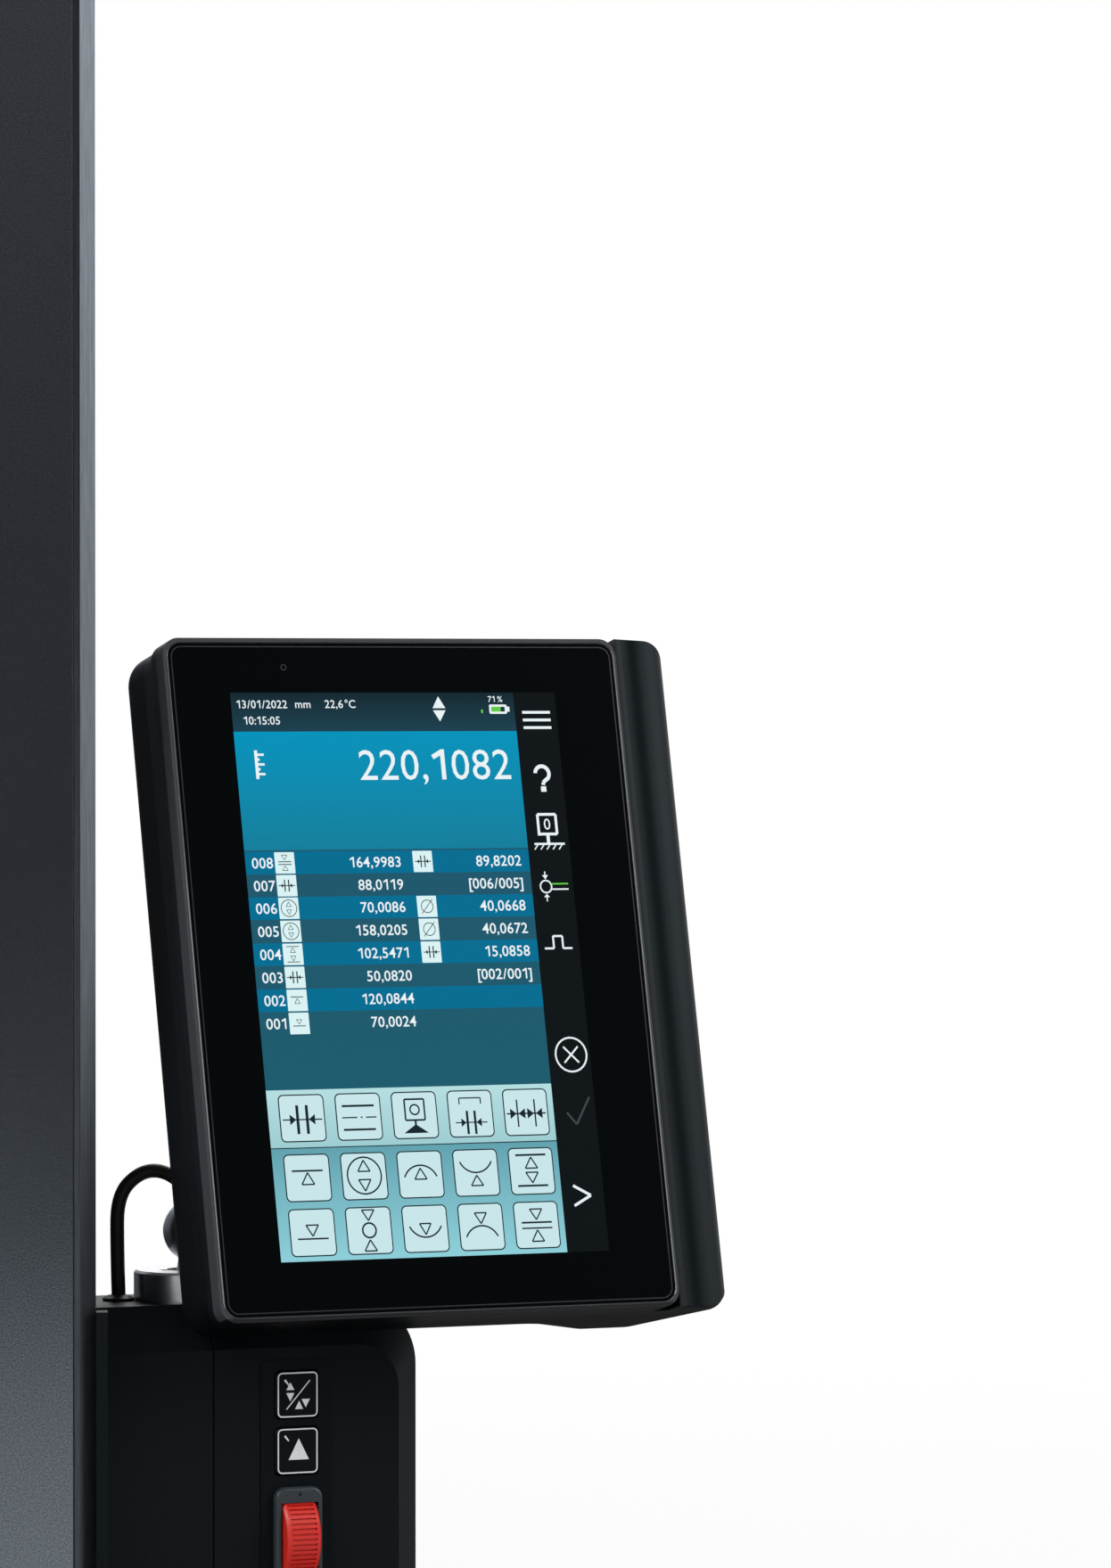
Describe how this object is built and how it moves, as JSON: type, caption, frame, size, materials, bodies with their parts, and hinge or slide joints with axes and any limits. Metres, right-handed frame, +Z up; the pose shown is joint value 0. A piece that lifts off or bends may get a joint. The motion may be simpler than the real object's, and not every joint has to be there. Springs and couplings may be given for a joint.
{
  "type": "height gauge",
  "caption": "Motor-driven digital height gauge: heavy base, column with a ball probe carriage, handle with thumbwheel and keys, and a tilting display on a ball mount.",
  "frame": {"origin": "on the base's ground underside, on the axis of the column", "axes": "+X to the right seen from the front, +Y to the back, +Z up the column"},
  "size_m": [0.3418, 0.272, 0.75],
  "materials": {
    "casting": "ground and painted cast iron",
    "base_paint": "dark satin paint",
    "brass": "turned",
    "battery": "shrink sleeve",
    "pump": "die cast",
    "circuit_board": "solder mask",
    "sockets": "moulded",
    "anodised": "dark anodised",
    "panel_paint": "fine textured paint",
    "ground_steel": "ground",
    "scale_steel": "fine graduation",
    "aluminium": "machined",
    "belt": "toothed belt",
    "weight": "cast iron",
    "low_friction": "low friction plastic",
    "reader": "moulded",
    "carriage_paint": "dark satin paint",
    "probe_ball": "polished ruby",
    "knurled_steel": "knurled",
    "handle_black": "fine grained",
    "keypad_film": "printed film",
    "bezel_plastic": "satin moulded",
    "button_plastic": "satin moulded",
    "wheel_red": "satin moulded",
    "turned_aluminium": "turned and anodised",
    "black_rubber": "smooth",
    "case_black": "fine grained",
    "cover_glass": "polished, black printed border",
    "screen": "lit panel"
  },
  "bodies": {
    "stand": {"base_casting": "casting", "air_nozzles": "brass", "base_cover": "base_paint", "battery_cover": "base_paint", "battery_pack": "battery", "air_pump": "pump", "main_board": "circuit_board", "socket_panel": "base_paint", "rear_sockets": "sockets", "column_profile": "anodised", "column_front_panel": "panel_paint", "column_rear_panel": "panel_paint", "column_cap": "anodised", "guide_rail": "ground_steel", "linear_scale": "scale_steel", "top_bridge": "aluminium", "drive_motor": "pump", "drive_belt": "belt", "counterweight_rods": "ground_steel", "handle_bracket": "handle_black", "grip_front_shell": "handle_black", "grip_rear_shell": "handle_black", "keypad_panel": "keypad_film", "wheel_bezel": "bezel_plastic", "wheel_cradle": "ground_steel", "keypad_board": "circuit_board", "swivel_boss": "turned_aluminium", "cable_grommet": "black_rubber", "display_cable": "black_rubber"},
    "power_button": {"power_button": "button_plastic"},
    "drive_pulley": {"drive_pulley": "aluminium"},
    "idler_pulley": {"idler_pulley": "aluminium"},
    "counterweight": {"counterweight": "weight"},
    "carriage": {"carriage_body": "aluminium", "guide_shoes": "low_friction", "scale_reader": "reader", "carriage_plate": "aluminium", "carriage_cover": "carriage_paint", "deflection_rods": "ground_steel"},
    "probe": {"probe_slide": "ground_steel", "probe_arm": "carriage_paint", "probe_stem": "ground_steel", "probe_ball": "probe_ball"},
    "clamp_screw": {"clamp_screw": "knurled_steel"},
    "air_cushion_button": {"air_cushion_button": "button_plastic"},
    "upper_outer_key": {"upper_outer_key": "keypad_film"},
    "upper_inner_key": {"upper_inner_key": "keypad_film"},
    "lower_inner_key": {"lower_inner_key": "keypad_film"},
    "lower_outer_key": {"lower_outer_key": "keypad_film"},
    "thumbwheel": {"thumbwheel": "wheel_red"},
    "ball_stud": {"ball_stud": "turned_aluminium"},
    "display": {"display_rear_shell": "case_black", "display_front_frame": "case_black", "cover_glass": "cover_glass", "lcd_panel": "screen", "display_board": "circuit_board", "hinge_bracket": "aluminium", "tilt_pin": "ground_steel", "display_gland": "black_rubber"}
  },
  "joints": [
    {"name": "power_press", "type": "slide", "parent": "stand", "child": "power_button", "axis": [0, -1, 0], "range_m": [0, 0.0015], "stiffness_N_per_m": 500},
    {"name": "carriage_slide", "type": "slide", "parent": "stand", "child": "carriage", "axis": [0, 0, 1], "range_m": [-0.2145, 0.1355]},
    {"name": "counterweight_slide", "type": "slide", "parent": "stand", "child": "counterweight", "axis": [0, 0, 1], "range_m": [-0.1355, 0.2145]},
    {"name": "drive_pulley_spin", "type": "hinge", "parent": "stand", "child": "drive_pulley", "pos_m": [0, 0, 0.692], "axis": [1, 0, 0], "range_deg": [-305, 480]},
    {"name": "idler_pulley_spin", "type": "hinge", "parent": "stand", "child": "idler_pulley", "pos_m": [0, 0, 0.042], "axis": [1, 0, 0], "range_deg": [-305, 480]},
    {"name": "probe_deflection", "type": "slide", "parent": "carriage", "child": "probe", "axis": [0, 0, 1], "range_m": [-0.0015, 0.0015], "stiffness_N_per_m": 4000, "springref_m": 0.0006},
    {"name": "clamp_screw_turn", "type": "hinge", "parent": "probe", "child": "clamp_screw", "pos_m": [-0.065, 0, 0.2311], "axis": [0, 1, 0], "range_deg": [0, 360]},
    {"name": "air_cushion_press", "type": "slide", "parent": "stand", "child": "air_cushion_button", "axis": [0.3584, -0.9336, 0], "range_m": [0, 0.002], "stiffness_N_per_m": 800},
    {"name": "thumbwheel_turn", "type": "hinge", "parent": "stand", "child": "thumbwheel", "pos_m": [0.09533, -0.01718, 0.1682], "axis": [0.9336, 0.3584, 0], "range_deg": [-25, 25], "stiffness_Nm_per_rad": 0.05},
    {"name": "display_pan", "type": "hinge", "parent": "stand", "child": "ball_stud", "pos_m": [0.07166, -0.0102, 0.238], "axis": [0, 0, 1], "range_deg": [-12, 2.5], "deforming": ["display_cable"]},
    {"name": "display_tilt", "type": "hinge", "parent": "ball_stud", "child": "display", "pos_m": [0.07166, -0.0102, 0.2483], "axis": [-0.9336, -0.3584, 0], "range_deg": [-2, 8], "deforming": ["display_cable"]},
    {"name": "upper_outer_key_press", "type": "slide", "parent": "stand", "child": "upper_outer_key", "axis": [-0.3584, 0.9336, 0], "range_m": [0, 0.0005], "stiffness_N_per_m": 2000},
    {"name": "upper_inner_key_press", "type": "slide", "parent": "stand", "child": "upper_inner_key", "axis": [-0.3584, 0.9336, 0], "range_m": [0, 0.0005], "stiffness_N_per_m": 2000},
    {"name": "lower_inner_key_press", "type": "slide", "parent": "stand", "child": "lower_inner_key", "axis": [-0.3584, 0.9336, 0], "range_m": [0, 0.0005], "stiffness_N_per_m": 2000},
    {"name": "lower_outer_key_press", "type": "slide", "parent": "stand", "child": "lower_outer_key", "axis": [-0.3584, 0.9336, 0], "range_m": [0, 0.0005], "stiffness_N_per_m": 2000}
  ],
  "couplings": [
    {"joint": "counterweight_slide", "follows": "carriage_slide", "ratio": -1},
    {"joint": "drive_pulley_spin", "follows": "carriage_slide", "rad_per_m": -38.536},
    {"joint": "idler_pulley_spin", "follows": "carriage_slide", "rad_per_m": -38.536}
  ]
}
